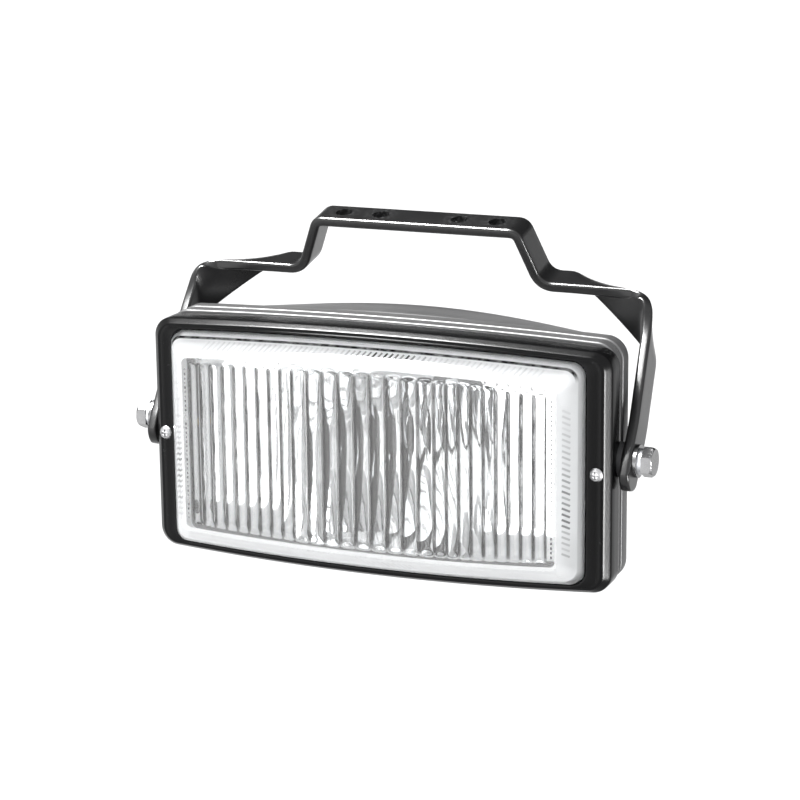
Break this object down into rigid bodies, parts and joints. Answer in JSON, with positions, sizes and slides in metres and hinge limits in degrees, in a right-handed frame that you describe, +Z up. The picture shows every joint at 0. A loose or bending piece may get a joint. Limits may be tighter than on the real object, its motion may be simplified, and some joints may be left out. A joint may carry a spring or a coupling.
{
  "type": "fog light",
  "caption": "Rectangular fog light with a fluted glass lens, hung by two pivot bolts in a folded strip bracket and tilted to aim.",
  "frame": {"origin": "centre of the bracket plate's top face, where the light is bolted up", "axes": "+Z up out of the plate, the light shines along -Y, +X across the light to its left as it looks"},
  "size_m": [0.2732, 0.1176, 0.1641],
  "materials": {
    "bracket_paint": "satin black paint over steel strip",
    "frame_plastic": "finely textured black moulded plastic",
    "housing_plastic": "satin black moulded plastic",
    "lens_glass": "clear pressed glass with vertical flutes",
    "bulb_glass": "thin clear quartz glass",
    "seal_rubber": "black rubber",
    "reflector_silver": "vacuum aluminised mirror",
    "zinc_steel": "bright zinc plated steel",
    "plain_steel": "plain stamped steel",
    "shield_black": "matt black heat resistant paint",
    "contact_brass": "brass",
    "lead_insulation": "red PVC insulation",
    "tungsten": "tungsten coil"
  },
  "bodies": {
    "bracket": {"mounting_bracket": "bracket_paint"},
    "lamp": {"front_frame": "frame_plastic", "lens": "lens_glass", "lens_gasket": "seal_rubber", "housing": "housing_plastic", "reflector": "reflector_silver", "reflector_screws": "zinc_steel", "bulb_holder": "plain_steel", "holder_rivets": "plain_steel", "bulb_base": "plain_steel", "bulb_glass": "bulb_glass", "bulb_filament": "tungsten", "bulb_posts": "tungsten", "bulb_shield": "shield_black", "shield_rivets": "plain_steel", "bulb_lead": "lead_insulation", "lead_terminal": "contact_brass", "earth_tag": "contact_brass", "cable_grommet": "seal_rubber", "breather_cap": "seal_rubber", "frame_screws": "zinc_steel", "frame_screw_nuts": "contact_brass", "pivot_bolt_left": "zinc_steel", "pivot_bolt_right": "zinc_steel", "pivot_washers": "zinc_steel", "pivot_lock_washers": "plain_steel", "pivot_spacers": "seal_rubber", "pivot_insert_left": "contact_brass", "pivot_insert_right": "contact_brass"},
    "clip": {"bulb_clip": "zinc_steel"}
  },
  "joints": [
    {"name": "lamp_tilt", "type": "hinge", "parent": "bracket", "child": "lamp", "pos_m": [0, -0.0636, -0.0912], "axis": [1, 0, 0], "range_deg": [-30, 45]},
    {"name": "bulb_clip_swing", "type": "hinge", "parent": "lamp", "child": "clip", "pos_m": [0, -0.01443, -0.12057], "axis": [-1, 0, 0], "range_deg": [0, 12]}
  ]
}
